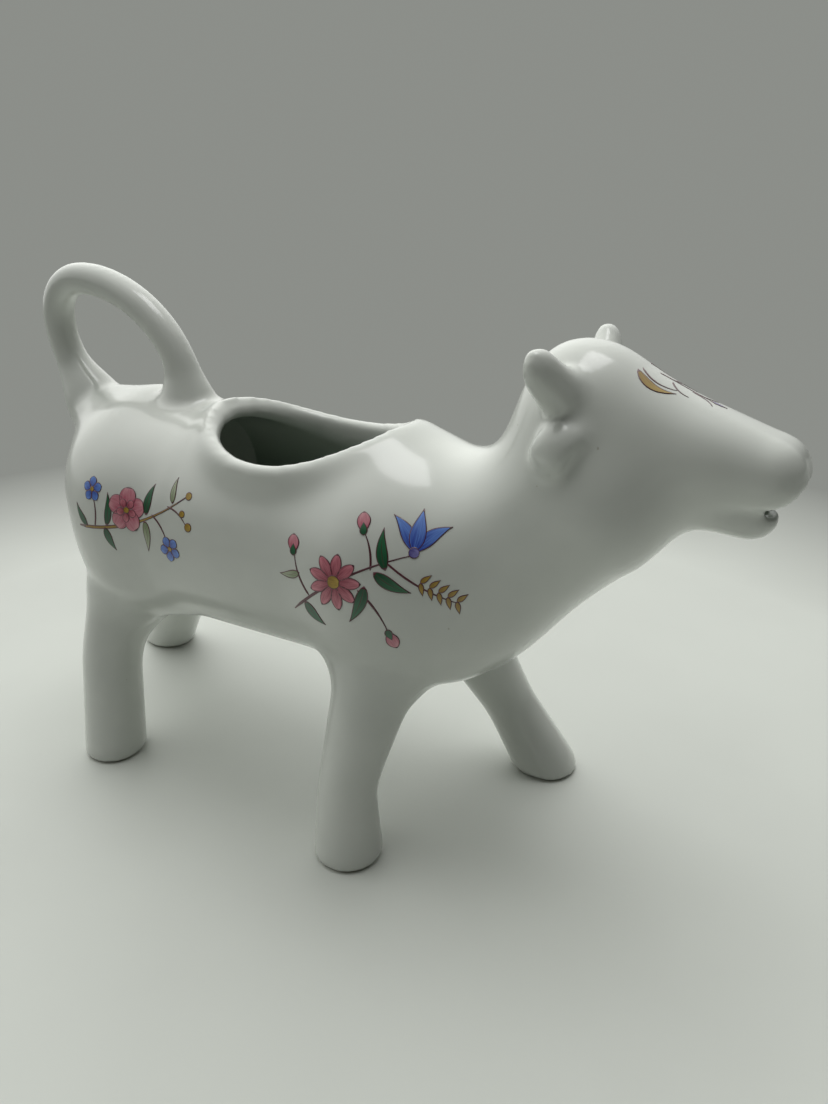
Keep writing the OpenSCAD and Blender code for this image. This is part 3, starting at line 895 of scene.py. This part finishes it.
# %% Floor and backdrop
WALL_GREY = (0.262, 0.272, 0.252, 1)
CLOTH = (0.60, 0.62, 0.585, 1)
CLOTH_SHADE = (0.565, 0.583, 0.55, 1)
CLOTH_ROUGH = 0.55
WEAVE_SCALE, WEAVE_DETAIL, WEAVE_BAND = 14, 3.0, (0.3, 0.7)
NAP_SCALE, NAP_DETAIL, NAP_SHARE, NAP_DEPTH = 900, 2.0, 0.15, 0.1 * MM
FLOOR_SIDES, FLOOR_RADIUS = 96, 2.5
FADE_FROM, FADE_TO = 0.17, 0.30
bpy.ops.mesh.primitive_circle_add(
    vertices=FLOOR_SIDES, radius=FLOOR_RADIUS, fill_type="NGON", location=(0, 0, 0)
)
floor = bpy.context.active_object
floor.name = "floor"
cloth = Recipe("pale_floor")
weave = cloth.ranged(cloth.noise(WEAVE_SCALE, WEAVE_DETAIL), *WEAVE_BAND)
cloth.join(cloth.mixed(weave, CLOTH, CLOTH_SHADE), cloth.shader.inputs["Base Color"])
cloth.shader.inputs["Roughness"].default_value = CLOTH_ROUGH
cloth.bump(cloth.noise(NAP_SCALE, NAP_DETAIL), NAP_SHARE, NAP_DEPTH)
distance = cloth.node("ShaderNodeVectorMath", operation="LENGTH")
cloth.join(cloth.places.outputs["Object"], distance.inputs[0])
far = cloth.ranged(distance.outputs["Value"], FADE_FROM, FADE_TO)
glow = cloth.node("ShaderNodeEmission")
set_inputs(glow, {"Color": WALL_GREY})
cloth.surface(far, cloth.shader.outputs["BSDF"], glow.outputs["Emission"], "Material Output")
floor.data.materials.append(cloth.material)

# %% [markdown]
# The light is a pale sky, brightest above and behind the tail and dark in front and below, and one
# soft window high over the cow. The camera sees none of that sky: to it, the world is the wall's
# grey.

# %% Lamps and the room
ROOM_LOW = (0.02, 0.021, 0.019, 1)
ROOM_HIGH = (1.80, 1.83, 1.76, 1)
ROOM_WAY = (-0.52, 0.36, 0.775)
ROOM_EDGE = 0.22
WINDOW_PLACE = (0.02, 0.10, 0.85)
WINDOW_AIM = (0, 0, 0.06)
WINDOW_SIZE = (0.30, 0.40)
WINDOW_WATTS = 1.25
room = bpy.data.worlds.new("studio")
sky = Wiring(room)
seen = sky.tree.nodes["Background"]
set_inputs(seen, {"Color": WALL_GREY})
toward = sky.node("ShaderNodeVectorMath", operation="DOT_PRODUCT")
toward.inputs[1].default_value = ROOM_WAY
sky.join(sky.places.outputs["Generated"], toward.inputs[0])
height = sky.ranged(toward.outputs["Value"], ROOM_EDGE, 1.0)
light = sky.node("ShaderNodeBackground")
sky.join(sky.mixed(height, ROOM_LOW, ROOM_HIGH), light.inputs["Color"])
ray = sky.node("ShaderNodeLightPath").outputs["Is Camera Ray"]
sky.surface(ray, light.outputs["Background"], seen.outputs["Background"], "World Output")
bpy.context.scene.world = room
window_data = bpy.data.lights.new("window", "AREA")
window_data.shape = "RECTANGLE"
window_data.size, window_data.size_y = WINDOW_SIZE
window_data.energy = WINDOW_WATTS
window = bpy.data.objects.new("window", window_data)
window.location = WINDOW_PLACE
window.rotation_euler = (Vector(WINDOW_AIM) - Vector(WINDOW_PLACE)).to_track_quat("-Z", "Y").to_euler()
bpy.context.scene.collection.objects.link(window)
bpy.context.scene.view_settings.view_transform = "Standard"
